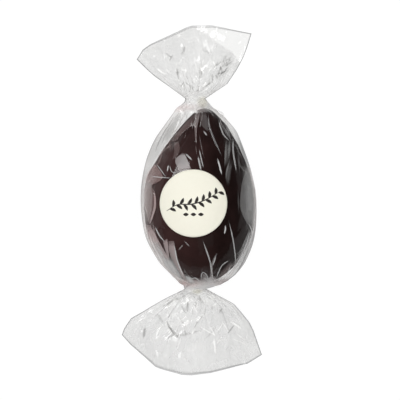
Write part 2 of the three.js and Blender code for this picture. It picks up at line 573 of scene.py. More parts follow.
@dataclass(frozen=True)
class PaperFinish:
    """Smooth cream sticker paper."""

    light: Colour = (0.965, 0.945, 0.82)
    dark: Colour = (0.93, 0.91, 0.78)

    def make(self) -> bpy.types.Material:
        """Builds the material."""
        sheet = Sheet.new("label_paper")
        cloud = sheet.group(Effects.mottle(), Scale=700.0, Middle=0.5, Amount=1.0)
        fibre = sheet.group(Effects.mottle(), Scale=2600.0, Middle=0.5, Amount=1.0)
        bump = sheet.add("Bump", {"Strength": 0.1, "Distance": 0.0001, "Height": fibre})
        paper = sheet.add("BsdfPrincipled", {
            "Base Color": sheet.mix(cloud, self.light, self.dark),
            "Roughness": 0.55,
            "Normal": bump.outputs[0],
        })
        return sheet.finish(paper.outputs[0])


@dataclass(frozen=True)
class InkFinish:
    """Dark printing ink."""

    full: Colour = (0.02, 0.016, 0.015)
    thin: Colour = (0.04, 0.034, 0.03)

    def make(self) -> bpy.types.Material:
        """Builds the material."""
        sheet = Sheet.new("label_ink")
        cloud = sheet.group(Effects.mottle(), Scale=1500.0, Middle=0.4, Amount=1.0)
        ink = sheet.add("BsdfPrincipled", {
            "Base Color": sheet.mix(cloud, self.full, self.thin),
            "Roughness": 0.5,
        })
        return sheet.finish(ink.outputs[0])


@dataclass(frozen=True)
class FloorFinish:
    """A white light table. Mirrors see its glow as a pool of light under the sweet."""

    grey: float = 0.08
    glow: float = 0.95
    pool: tuple[float, float] = (-0.030, 0.010)
    reach: tuple[float, float] = (0.080, 0.105)
    pool_glow: float = 0.6
    dim_glow: float = 0.1
    pool_colour: Colour = (1.0, 0.955, 0.945)

    def make(self) -> bpy.types.Material:
        """Builds the material."""
        sheet = Sheet.new("white_table")
        place = sheet.add("TexCoord").outputs["Object"]
        spot = sheet.add("SeparateXYZ", {0: place})
        off = []
        for axis, middle, reach in zip("XY", self.pool, self.reach):
            away = sheet.math("SUBTRACT", spot.outputs[axis], middle)
            off.append(sheet.math("POWER", sheet.math("ABSOLUTE", sheet.math("DIVIDE", away, reach)), 2.0))
        lit = sheet.add("MapRange", {
            "Value": sheet.math("SQRT", sheet.math("ADD", *off)),
            "From Min": 1.2,
            "From Max": 0.8,
            "To Min": self.dim_glow,
            "To Max": self.pool_glow,
        }, interpolation_type="SMOOTHSTEP").outputs["Result"]
        mirrored = sheet.add("LightPath").outputs["Is Glossy Ray"]
        seen = sheet.math("MULTIPLY_ADD", mirrored, sheet.math("SUBTRACT", lit, 1.0), 1.0)
        table = sheet.add("BsdfPrincipled", {
            "Base Color": (self.grey, self.grey, self.grey, 1.0),
            "Roughness": 0.9,
            "Specular IOR Level": 0.0,
            "Emission Color": sheet.mix(mirrored, (1.0, 1.0, 1.0), self.pool_colour),
            "Emission Strength": sheet.math("MULTIPLY", seen, self.glow),
        })
        return sheet.finish(table.outputs[0])


# ------------------------------------------------------------------------------------------
# The egg
# ------------------------------------------------------------------------------------------


@dataclass(frozen=True)
class Egg:
    """The chocolate-covered egg, round about a line along Y that leans right at the point.

    Its fullness is its radius over that of a circle through both ends. Its shoulder and
    its hip are how much further, in millimetres, its right and its left side reach.
    """

    blunt: float = -37.2
    pointed: float = 41.0
    x: float = 3.7
    lean: float = 0.0014
    widest: float = 25.0
    widest_y: float = -2.0
    foot: float = 1.0
    fullness: Profile = Profile((
        (-37.2, 0.65), (-27.0, 0.672), (-16.0, 0.669), (-9.0, 0.654), (0.0, 0.6385),
        (8.8, 0.6115), (22.2, 0.518), (28.9, 0.456), (35.6, 0.395), (41.0, 0.36),
    ))
    shoulder: Profile = Profile((
        (-37.2, 0.0), (12.0, 0.0), (15.0, 0.15), (18.0, 0.42), (22.0, 0.6), (25.0, 0.85),
        (27.0, 0.85), (30.0, 0.9), (33.0, 1.05), (35.6, 0.5), (38.5, 0.05), (41.0, 0.0),
    ))
    hip: Profile = Profile((
        (-37.2, 0.0), (-2.0, 0.0), (6.0, 0.35), (11.0, 0.75), (14.0, 0.5), (18.0, 0.1), (41.0, 0.0),
    ))
    seed: int = 5

    def radius(self, y: np.ndarray) -> np.ndarray:
        """Radius at a place along Y, and 0 past the ends."""
        inside = np.maximum((y - self.blunt) * (self.pointed - y), 0.0)
        return self.fullness(y) * np.sqrt(inside)

    def middle(self, y: np.ndarray) -> np.ndarray:
        """Middle of the egg at a place along Y."""
        return self.x + self.lean * np.maximum(y, 0.0) ** 2

    def build(self, drawing: Drawing, rings: int = 150, columns: int = 160) -> bpy.types.Object:
        """Makes the egg's mesh, slightly uneven as a dipped coating is.

        Args:
            drawing: takes the points to the row frame.
            rings: rings from end to end.
            columns: points in a ring.

        Returns:
            The egg.
        """
        rng = np.random.default_rng(self.seed)
        turn = np.linspace(0, math.pi, rings)[:, None]
        angle = np.linspace(0, FULL_TURN, columns, endpoint=False)[None, :]
        y = blend(self.blunt, self.pointed, (1 - np.cos(turn)) / 2)
        swell = np.zeros((rings, columns))
        for _ in range(14):
            waves, along = rng.integers(1, 5), rng.uniform(1.0, 5.0)
            phase = rng.uniform(0, FULL_TURN, 2)
            wave = np.sin(waves * angle + phase[0]) * np.sin(along * turn + phase[1])
            swell += rng.uniform(0.02, 0.06) * wave
        radius = np.maximum(self.radius(y) - 0.15 + swell * np.sin(turn), 0.0)
        bulge = self.shoulder(y) * np.clip(np.sin(angle), 0, 1) ** 6
        bulge = bulge - self.hip(y) * np.clip(-np.sin(angle), 0, 1) ** 6
        x = self.middle(y) + radius * np.sin(angle) + bulge
        z = np.maximum(radius * np.cos(angle), self.foot - self.widest)
        points = np.stack([x, np.broadcast_to(y, x.shape), z], axis=-1).reshape(-1, 3)
        return mesh_piece(
            "chocolate_egg", points, grid_faces(rings, columns), drawing,
            ChocolateFinish().make(), Slot.CHOCOLATE,
        )


# ------------------------------------------------------------------------------------------
# The wrapper
# ------------------------------------------------------------------------------------------


@dataclass(frozen=True)
class Fan:
    """One flared end of the wrapper, in plan."""

    left: tuple[tuple[float, float], ...]
    right: tuple[tuple[float, float], ...]
    rim: tuple[tuple[float, float], ...]
    half_depth: float
    ruffle: float
    phase: float

    def plan(self, reach: np.ndarray, across: np.ndarray) -> tuple[np.ndarray, np.ndarray]:
        """Reads the fan in plan.

        Args:
            reach: 0 at the neck and 1 at the rim.
            across: 0 on the left edge and 1 on the right edge.

        Returns:
            The x and the y values.
        """
        left_x, left_y = Polyline(self.left)(reach)
        right_x, right_y = Polyline(self.right)(reach)
        rim_x, rim_y = Polyline(self.rim)(across)
        bow_x = rim_x - blend(self.left[-1][0], self.right[-1][0], across)
        bow_y = rim_y - blend(self.left[-1][1], self.right[-1][1], across)
        x = blend(left_x, right_x, across) + bow_x * reach**2
        y = blend(left_y, right_y, across) + bow_y * reach**2
        return x, y


UPPER_FAN = Fan(
    left=((-2.6, 45.2), (-8.8, 49.9), (-12.5, 52.5), (-16.3, 55.2), (-19.4, 57.9), (-24.3, 62.7)),
    right=((6.3, 45.2), (16.1, 51.9), (17.4, 53.9), (20.1, 57.9), (23.0, 63.2), (24.8, 67.7),
        (26.9, 74.4)),
    rim=((-24.3, 62.7), (-21.6, 67.0), (-18.3, 69.3), (-2.2, 76.8), (0.4, 77.6), (9.4, 77.6),
        (13.4, 76.8), (26.9, 74.4)),
    half_depth=6.2,
    ruffle=2.2,
    phase=0.6,
)
LOWER_FAN = Fan(
    left=((-2.9, -39.6), (-8.9, -42.5), (-13.8, -45.1), (-26.8, -52.7), (-29.9, -57.2),
        (-30.9, -60.1)),
    right=((6.7, -39.6), (17.4, -45.4), (19.2, -46.5), (21.9, -49.6), (25.9, -54.5),
        (27.7, -58.1), (30.8, -67.0), (31.5, -69.0)),
    rim=((-30.9, -60.1), (-27.2, -64.3), (-16.1, -74.1), (-13.8, -75.0), (-4.5, -77.5),
        (0.0, -77.8), (8.5, -76.9), (12.9, -75.9), (25.0, -73.0), (31.5, -69.0)),
    half_depth=6.6,
    ruffle=2.4,
    phase=2.4,
)

# Round spots where the film clings to the chocolate: x, y, radius and strength of each.
CLING: tuple[tuple[float, float, float, float], ...] = (
    (-3.5, 17.0, 4.0, 0.85), (-9.6, 20.5, 2.5, 0.4), (-13.0, 16.0, 3.0, 0.35),
    (22.5, 17.5, 7.5, 0.97), (19.5, 27.0, 6.5, 0.8), (-12.0, 21.5, 6.5, 0.6),
    (-16.0, 12.5, 5.0, 0.6), (-18.5, -11.0, 4.5, 0.6), (15.5, -32.0, 7.0, 0.8),
    (2.0, -35.0, 6.0, 0.7),
)


def cling(x: np.ndarray, y: np.ndarray) -> np.ndarray:
    """How much the film clings to the chocolate, which takes the shine off it."""
    spots = [c * np.exp(-((x - a) ** 2 + (y - b) ** 2) / r**2) for a, b, r, c in CLING]
    return np.clip(sum(spots), 0, 0.96)


def warmth(x: np.ndarray, y: np.ndarray) -> np.ndarray:
    """Share of painted brown light in the cloudy film, for the chocolate seen through it: more on the lit
    left, and a spot on the lower right.
    """
    over_egg = smooth((44.0 - y) / 4.0) * (0.7 + 0.3 * smooth((y + 24.0) / 12.0))
    plain = 0.85 * np.exp(-((x + 3.6) ** 2 + (y - 17.0) ** 2) / 30.0)
    left = (1 - smooth((x + 6.0) / 16.0)) * over_egg * smooth((y + 40.0) / 4.0) * (1 - plain)
    return left + 0.6 * np.exp(-((x - 15.0) ** 2 + (y + 31.5) ** 2) / 36.0)


@dataclass
class Wrapper:
    """The film: one tube from the lower rim over the egg to the upper rim."""

    egg: Egg
    drawing: Drawing
    gap: float = 0.35
    touch: float = 0.12
    neck_radius: float = 4.9
    upper_neck: float = 45.2
    lower_neck: float = -39.6
    left_edge: Profile = Profile((
        (-39.6, -2.9), (-38.4, -3.9), (-35.8, -6.8), (-33.1, -9.5), (-30.4, -12.1),
        (-26.9, -15.0), (-16.0, -20.6),
        (0.0, -22.7), (14.0, -21.3), (26.5, -17.0), (36.0, -10.6), (39.6, -8.2),
        (41.4, -6.4), (43.0, -3.9), (44.2, -2.9), (45.2, -2.6),
    ))
    right_edge: Profile = Profile((
        (-39.6, 6.7), (-38.5, 10.8), (-37.4, 14.3), (-36.5, 16.5), (-35.8, 17.3), (-33.1, 20.4),
        (-26.9, 24.7), (-16.0, 28.5), (0.0, 29.1), (13.0, 26.8), (26.5, 22.3),
        (31.1, 20.1), (36.5, 15.3), (39.2, 12.2), (41.8, 9.3), (45.2, 6.3),
    ))
    # Painted shade on the film where it stands off the egg, along y; greyer on the right, where it
    # reflects less light.
    left_painted_shade: Profile = Profile((
        (-45.0, 0.05), (-30.0, 0.08), (-10.0, 0.13), (10.0, 0.14), (26.0, 0.12), (38.0, 0.05),
        (50.0, 0.05),
    ))
    right_painted_shade: Profile = Profile((
        (-45.0, 0.14), (-30.0, 0.22), (-20.0, 0.25), (-10.0, 0.32), (4.0, 0.4), (14.0, 0.4),
        (20.0, 0.36), (25.0, 0.28), (31.0, 0.18), (42.0, 0.07), (50.0, 0.07),
    ))
    bunched: tuple[tuple[float, float], ...] = ((5.1, 43.6), (2.5, -39.3))
    columns: int = 288
    body_rings: int = 170
    fan_rings: int = 74
    twist: float = math.radians(150.0)
    seed: int = 11

    def half_height(self, y: np.ndarray) -> np.ndarray:
        """Half height of the taut film: on the egg, then straight to each neck."""
        widest = self.egg.widest_y
        neck = np.where(y > widest, self.upper_neck, self.lower_neck)
        height = self.egg.radius(y) + self.gap
        for share in np.linspace(0, 1, 61):
            start = widest + (y - widest) * share
            radius = self.egg.radius(start) + self.gap
            run = neck - start
            run = np.where(np.abs(run) < 1e-9, 1.0, run)
            height = np.maximum(height, radius + (self.neck_radius - radius) * (y - start) / run)
        return height

    def middle(self, y: np.ndarray) -> np.ndarray:
        """The body's centre line in plan."""
        centre = (self.left_edge(y) + self.right_edge(y)) / 2
        share = np.clip(self.egg.radius(y) / self.neck_radius, 0, 1)
        return blend(centre, self.egg.middle(y), share)

    def squeeze(self, y: np.ndarray, right: np.ndarray) -> np.ndarray:
        """Share by which the body is narrower than a round one, on the right or the left."""
        edge = np.where(right, self.right_edge(y), self.left_edge(y))
        return np.minimum(np.abs(edge - self.middle(y)) / self.half_height(y), 1.0)

    def hull(self, y: np.ndarray, angle: np.ndarray) -> np.ndarray:
        """Radius of the taut film about the centre line: round on the egg, and flat on to
        the creases where the film stands off it on the left and the right.

        Args:
            y: place along Y.
            angle: angle from straight up, towards +X.

        Returns:
            The radius.
        """
        middle, round_ = self.middle(y), self.half_height(y)
        radius = round_ + 0.0 * angle
        soft = math.radians(1.2)
        for side, edge in ((-1, self.left_edge(y)), (1, self.right_edge(y))):
            reach = np.maximum(np.abs(edge - middle), round_ * 1.0005)
            lean = np.arccos(round_ / reach)
            off = np.arccos(np.clip(side * np.sin(angle), -1, 1))
            off = np.sqrt(off**2 + soft**2)
            flat = round_ / np.cos(np.clip(lean - off, 0, None))
            radius = np.maximum(radius, flat)
        return radius

    def top(self, x: np.ndarray, y: np.ndarray) -> np.ndarray:
        """Height of the taut film's upper side at places in plan."""
        middle, round_ = self.middle(y), self.half_height(y)
        off = np.abs(x - middle) / self.squeeze(y, x > middle)
        edge = np.where(x < middle, self.left_edge(y), self.right_edge(y))
        reach = np.maximum(np.abs(edge - middle), round_ * 1.0005)
        lean = np.arccos(round_ / reach)
        touch_x, touch_z = round_ * np.cos(lean), round_ * np.sin(lean)
        arch = np.sqrt(np.maximum(round_**2 - off**2, 0))
        flat = touch_z * np.maximum(reach - off, 0) / (reach - touch_x)
        return np.where(off < touch_x, arch, flat)

    @property
    def underside(self) -> float:
        """Height of the wrapper's underside."""
        return self.egg.foot - self.egg.widest - self.gap

    def build(self) -> bpy.types.Object:
        """Makes the film's mesh."""
        rng = np.random.default_rng(self.seed)
        span = self.upper_neck - self.lower_neck
        turn = np.linspace(0, math.pi, self.body_rings)
        even = np.linspace(0, 1, self.body_rings)
        share = blend((1 - np.cos(turn)) / 2, even, 0.55)
        body_y = self.lower_neck + span * share
        reach = np.append(np.linspace(0, 0.985, self.fan_rings)[1:], 1.0)
        shape = (self.body_rings + 2 * self.fan_rings, self.columns)
        low = slice(0, self.fan_rings)
        mid = slice(self.fan_rings, self.fan_rings + self.body_rings)
        top = slice(self.fan_rings + self.body_rings, shape[0])
        column = np.linspace(0, FULL_TURN, self.columns, endpoint=False)[None, :]
        # Signed distance past each neck, into the fan, and the ring's mean radius.
        past = {
            End.POINTED: np.concatenate(
                [np.full(self.fan_rings, -99.0), body_y - self.upper_neck, reach * 31]
            ),
            End.BLUNT: np.concatenate(
                [reach[::-1] * 31, self.lower_neck - body_y, np.full(self.fan_rings, -99.0)]
            ),
        }
        mean = np.concatenate([
            blend(self.neck_radius, 19.0, reach[::-1]),
            self.half_height(body_y),
            blend(self.neck_radius, 17.0, reach),
        ])
        angle = np.broadcast_to(column, shape).copy()
        lift = np.zeros(shape)
        for end in End:
            shift, raised = self._pleats(past[end][:, None], mean[:, None], column, rng)
            angle += shift
            lift += raised
        for end in End:
            # Turned whole columns, so that a column runs along each side crease.
            angle += end.value * self.twist * smooth((past[end][:, None] + 4.0) / 10.0)
        coarse = Facets(rows=26, columns=15).heights(shape, rng) - 0.5
        fine = Facets(rows=8, columns=7).heights(shape, rng) - 0.5
        tiny = Facets(rows=4.5, columns=4).heights(shape, rng) - 0.5
        streaks = Facets(rows=60, columns=3).heights(shape, rng) - 0.5

        x, y, z = np.zeros(shape), np.zeros(shape), np.zeros(shape)
        # Body.
        yy = np.broadcast_to(body_y[:, None], (self.body_rings, self.columns))
        a = angle[mid]
        hull = self.hull(body_y[:, None], a)
        calm = self._calm(body_y[:, None], a)
        crumple = calm * (1.1 * coarse[mid] + 0.3 * fine[mid])
        trim = 1 - 0.75 * np.exp(-((np.cos(a) / 0.3) ** 2))
        off = np.minimum(np.abs(past[End.POINTED]), np.abs(past[End.BLUNT]))[:, None]
        near = np.exp(-((off / 6.0) ** 2))
        still = 1 - np.exp(-((off / 9.0) ** 2))
        stars = self._star(column, mid, shape)
        lifted = (lift[mid] * calm + crumple) * still[mid] * trim
        radius = (hull + lifted) * (1 - near[mid] * stars)
        floor = self.egg.radius(body_y)[:, None] + self.touch
        radius = np.maximum(radius, floor)
        squeeze = self.squeeze(body_y[:, None], np.sin(a) > 0)
        x[mid] = self.middle(body_y)[:, None] + radius * squeeze * np.sin(a)
        y[mid] = yy
        z[mid] = np.maximum(radius * np.cos(a), self.underside + 0.05)
        # Fans.
        for part, fan, reaches in ((low, LOWER_FAN, reach[::-1]), (top, UPPER_FAN, reach)):
            x[part], y[part], z[part] = self._fan(
                fan, reaches[:, None], angle[part], lift[part],
                coarse[part], fine[part] + 0.6 * tiny[part], near[part], self._star(column, part, shape),
            )
        points = np.stack([x, y, z], axis=-1).reshape(-1, 3)
        gathered = np.zeros(shape)
        for spot_x, spot_y in self.bunched:
            away = np.hypot(x - spot_x, y - spot_y)
            gathered = np.maximum(gathered, 1 - smooth((away - 0.8) / 2.6))
        haze = np.zeros(shape)
        haze[mid] = self._haze(body_y[:, None], a)
        cloud = 0.10 * coarse + 0.16 * fine + 0.07 * tiny
        cloud += 0.3 * streaks * (1 - smooth(np.abs(y) / 30.0 - 1.3))
        haze[top] = 0.19 + cloud[top]
        haze[low] = 0.28 + 1.2 * cloud[low]
        single = self._single(x, y)
        # Painted highlights: the single-layer corner of the upper fan and a band under the upper neck glow
        # a little, though they are no lamp.
        gleam = 0.11 * single + 0.22 * np.exp(-(((y - self.upper_neck + 2.2) / 2.8) ** 2))
        piece = mesh_piece(
            "film", points, grid_faces(*shape), self.drawing, FilmFinish().make(), Slot.FILM,
            gathered=gathered, haze=np.clip(haze * (1 - single), 0, 1), warmth=warmth(x, y),
            shade=self._shade(x, y, streaks), gleam=gleam, cling=cling(x, y),
        )
        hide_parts(Node.WRAPPER.value)
        return piece

    @staticmethod
    def _single(x: np.ndarray, y: np.ndarray) -> np.ndarray:
        """1 at the upper fan's right corner, where only one layer of film is left."""
        border = np.interp(x, (4.0, 10.7, 18.3, 24.1, 30.0), (77.1, 70.4, 65.9, 57.9, 50.0))
        return smooth((y - border) / 0.8 + 0.5)

    def _haze(self, y: np.ndarray, angle: np.ndarray) -> np.ndarray:
        """Cloudiness of the film over the egg: more at the left flank and by the necks."""
        flank = np.abs(np.arcsin(np.clip(np.sin(angle), -1, 1)))
        left = 0.02 * smooth((flank - 0.9) / 0.5) * (np.sin(angle) < 0)
        right = 0.14 * smooth((flank - 0.95) / 0.45) * (np.sin(angle) > 0)
        right = right * smooth((y + 14.0) / 6.0) * smooth((13.0 - y) / 6.0)
        lower = 0.85 * smooth((self.lower_neck + 5.4 - y) / 3.4)
        upper = 0.3 * smooth((y - self.upper_neck + 7.0) / 5.0)
        return left + right + lower + upper

    def _shade(self, x: np.ndarray, y: np.ndarray, streaks: np.ndarray) -> np.ndarray:
        """Painted shade on the film: thin dark outlines, and grey streaks where it stands off the egg.

        Args:
            x, y: the film's points in plan, a ring to a row.
            streaks: fine lines along the film, about 0.

        Returns:
            The painted shade, 0 to 1.
        """
        away = np.full(x.shape, 99.0)
        for pick in (np.argmin(x, axis=1), np.argmax(x, axis=1)):
            edge_x = np.take_along_axis(x, pick[:, None], 1)
            edge_y = np.take_along_axis(y, pick[:, None], 1)
            away = np.minimum(away, np.hypot(x - edge_x, y - edge_y))
        # Painted dark outlines along the film's silhouette and round the fans' rims.
        line = 1 - smooth((away - 0.08) / 0.38)
        line[0] = line[-1] = 1.0
        stand = smooth((np.abs(x - self.egg.middle(y)) - self.egg.radius(y) + 0.8) / 1.6)
        body = smooth((self.upper_neck - 1.0 - y) / 3.0) * smooth((y - self.lower_neck - 1.0) / 3.0)
        # Painted shade: grey margins, greyer on the right, and darker outlines on the fans than on the
        # body.
        grey = np.where(x > self.middle(y), self.right_painted_shade(y), self.left_painted_shade(y))
        outline = blend(0.54, np.where(x > self.middle(y), 0.1, 0.16), body)
        return np.clip(stand * body * (grey + 0.2 * streaks) + outline * line, 0, 1)

    def _star(self, column: np.ndarray, part: slice, shape: tuple[int, int]) -> np.ndarray:
        """Share by which the gathered film folds in between its lobes."""
        wave = 0.5 - 0.5 * np.cos(14 * column + 1.3 * np.sin(3 * column))
        rows = part.stop - part.start
        return np.broadcast_to(0.09 * wave, (rows, shape[1]))

    def _pleats(
        self, past: np.ndarray, mean: np.ndarray, column: np.ndarray, rng: np.random.Generator,
    ) -> tuple[np.ndarray, np.ndarray]:
        """Fold-over pleats that run out from one neck, both ways.

        Args:
            past: distance past the neck into the fan, negative on the body.
            mean: mean radius of each ring.
            column: the columns' angles.
            rng: source of the pleats' places and lengths.

        Returns:
            The shift in angle and the lift in millimetres.
        """
        shift, lift = 0.0, 0.0
        count = 17
        for index in range(count):
            at = (index + rng.uniform(-0.3, 0.3)) * FULL_TURN / count
            side = rng.choice([-1.0, 1.0])
            body_reach = rng.uniform(8.0, 34.0)
            fan_reach = rng.uniform(10.0, 34.0)
            width = rng.uniform(0.7, 1.3)
            length = np.where(past < 0, body_reach, fan_reach)
            fade = np.clip(1 - np.abs(past) / length, 0, 1)
            half = (width * fade + 0.01) / mean
            off = (column - at + math.pi) % FULL_TURN - math.pi
            s = side * off / half
            inside = np.abs(s) < 1
            shift = shift - side * np.where(inside, 0.62 * half * np.sin(math.pi * s), 0)
            up = np.where(s < -0.32, smooth((s + 1) / 0.68), np.clip((0.32 - s) / 0.64, 0, 1))
            lift = lift + np.where(inside, up, 0) * 0.55 * fade
        return shift, lift

    def _calm(self, y: np.ndarray, angle: np.ndarray) -> np.ndarray:
        """0 under the label, where the film lies smooth, rising to 1 around it."""
        low, high = (self.drawing.back(c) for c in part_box(Node.LABEL.value))
        x = self.middle(y) + self.half_height(y) * np.sin(angle)
        away = np.hypot(x - (low.x + high.x) / 2, y - (low.y + high.y) / 2)
        radius = (high.x - low.x) / 2
        under = (np.cos(angle) > 0) * (1 - smooth((away - radius - 0.5) / 4.0))
        return 1 - under

    def _fan(
        self, fan: Fan, reach: np.ndarray, angle: np.ndarray, lift: np.ndarray,
        coarse: np.ndarray, fine: np.ndarray, near: np.ndarray, star: np.ndarray,
    ) -> tuple[np.ndarray, np.ndarray, np.ndarray]:
        """Places the film of one flared end.

        Args:
            fan: the end's plan.
            reach: 0 at the neck and 1 at the rim.
            angle: angle of each point round the tube.
            lift: lift of the pleats.
            coarse: large facets, about 0.
            fine: small facets, about 0.
            near: 1 at the neck, fading out.
            star: the neck's lobes.

        Returns:
            The x, y and z values.
        """
        flat = smooth(reach / 0.25)
        round_ = np.sin(angle)
        even = 1 - 4 * np.abs((angle / FULL_TURN + 0.25) % 1.0 - 0.5)
        across = (1 + blend(round_, even, 0.75 * flat)) / 2
        side = np.sign(np.cos(angle))
        lens = np.abs(1 - (2 * across - 1) ** 2)
        depth = blend(np.abs(np.cos(angle)), lens, flat) * blend(self.neck_radius, fan.half_depth, reach)
        wave = fan.ruffle * reach * np.sin(FULL_TURN * 1.6 * across + fan.phase)
        x, y = fan.plan(reach * np.ones_like(angle), across)
        inward = 1 - near * star
        centre = (fan.left[0][0] + fan.right[0][0]) / 2
        x = blend(centre, x, blend(inward, 1.0, flat))
        grain = coarse * 3.6 * (0.25 + 0.75 * reach) * smooth(reach / 0.2)
        grain = grain + fine * 1.5 * smooth(reach / 0.15)
        edge = smooth(lens / 0.25)
        z = side * (depth * inward + (lift * 0.8) * edge) + wave + grain * edge
        return x, y, z


# ------------------------------------------------------------------------------------------
# Folds in the film over the egg
# ------------------------------------------------------------------------------------------

Line = tuple[tuple[float, float], ...]


class Cloud(float, Enum):
    """How cloudy a fold of film is."""

    FAINT = 0.1
    THIN = 0.22
    CLOUDY = 0.45
    MILKY = 0.65


@dataclass(frozen=True)
class Flap:
    """A fold of film that lies on the wrapper between two lines in plan.

    Haze is its cloudiness and edge what its right border adds to it. Gleam is a painted
    highlight, a glow for the light that it would catch, and shade is painted shade that greys
    it. A soft fold fades out to all sides.
    """

    left: Line
    right: Line
    height: float
    haze: float
    edge: float = 0.0
    gleam: float = 0.0
    shade: float = 0.0
    soft: bool = False

    def sides(self, share: np.ndarray) -> tuple[np.ndarray, np.ndarray]:
        """Reads both side lines as points in plan, one to a row."""
        return np.stack(PlanCurve(self.left)(share), 1), np.stack(PlanCurve(self.right)(share), 1)

    def profile(self, across: np.ndarray) -> np.ndarray:
        """Rises slowly from the left line and turns down sharply at the right line."""
        rise = np.clip(across / 0.85, 0, 1)
        fall = np.sqrt(np.clip(1 - np.clip((across - 0.85) / 0.15, 0, 1) ** 2, 0, 1))
        return rise * fall

    @property
    def brown(self) -> float:
        """Share of the painted brown light that the fold can take: less when it is cloudier."""
        return float(np.interp(self.haze, (0.15, 0.3, 0.55, 0.65), (1.0, 0.65, 0.55, 0.0)))

    def cloud(self, across: np.ndarray) -> np.ndarray:
        """Cloudiness across the fold."""
        if self.soft:
            return self.haze * (1 - (2 * across - 1) ** 2)
        return self.haze * (0.75 + 0.25 * across) + self.edge * smooth((across - 0.78) / 0.14)


@dataclass(frozen=True)
class Pleat(Flap):
    """A narrow fold along one line; its right line is left out."""

    right: Line = ()
    height: float = 0.5
    haze: float = 0.0
    width: float = 1.0

    def sides(self, share: np.ndarray) -> tuple[np.ndarray, np.ndarray]:
        """Reads both side lines, which meet at the ends."""
        middle = np.stack(PlanCurve(self.left)(share), 1)
        along = np.gradient(middle, axis=0)
        along /= np.linalg.norm(along, axis=1, keepdims=True)
        across = np.stack([along[:, 1], -along[:, 0]], 1)
        ends = np.minimum(share, 1 - share)
        half = self.width / 2 * np.clip((2 if self.soft else 4) * ends, 0.15, 1)[:, None]
        return middle - across * half, middle + across * half

    def profile(self, across: np.ndarray) -> np.ndarray:
        """A round ridge."""
        return np.sqrt(np.clip(1 - (2 * across - 1) ** 2, 0, 1))

    @property
    def brown(self) -> float:
        """Share of the painted brown light that the fold can take."""
        return float(np.interp(self.haze, (0.1, 0.25), (1.0, 0.0)))

    def cloud(self, across: np.ndarray) -> np.ndarray:
        """Cloudiest along the middle."""
        bell = 1 - (2 * across - 1) ** 2
        return self.haze * (bell**1.5 if self.soft else 0.3 + 0.9 * bell)


def pleat(line: Line, width: float, height: float, haze: float) -> Pleat:
    """Makes a narrow fold on the body."""
    return Pleat(left=line, width=width, height=height, haze=haze)


def smear(line: Line, width: float, haze: float) -> Pleat:
    """Makes a soft cloudy streak on the body."""
    return Pleat(left=line, width=width, height=0.1, haze=haze, soft=True)


def crease(line: Line, width: float, gleam: float, shade: float) -> Pleat:
    """Makes a crease in a fan with a painted highlight or painted shade."""
    return Pleat(left=line, width=width, height=0.3 * width, gleam=gleam, shade=shade)


@dataclass(frozen=True)
class Band:
    """A soft cloudy band down the body, between two shares of its half width.

    A share is -1 on the left outline, 0 on the centre line and 1 on the right outline.
    """

    first: float
    second: float
    top: float
    foot: float
    haze: float
    height: float = 0.2


@dataclass(frozen=True)
class Streak:
    """A crease down the body at one share of its half width, as in a band, with a painted highlight or
    painted shade.
    """

    share: float
    top: float
    foot: float
    width: float
    gleam: float = 0.0
    shade: float = 0.0


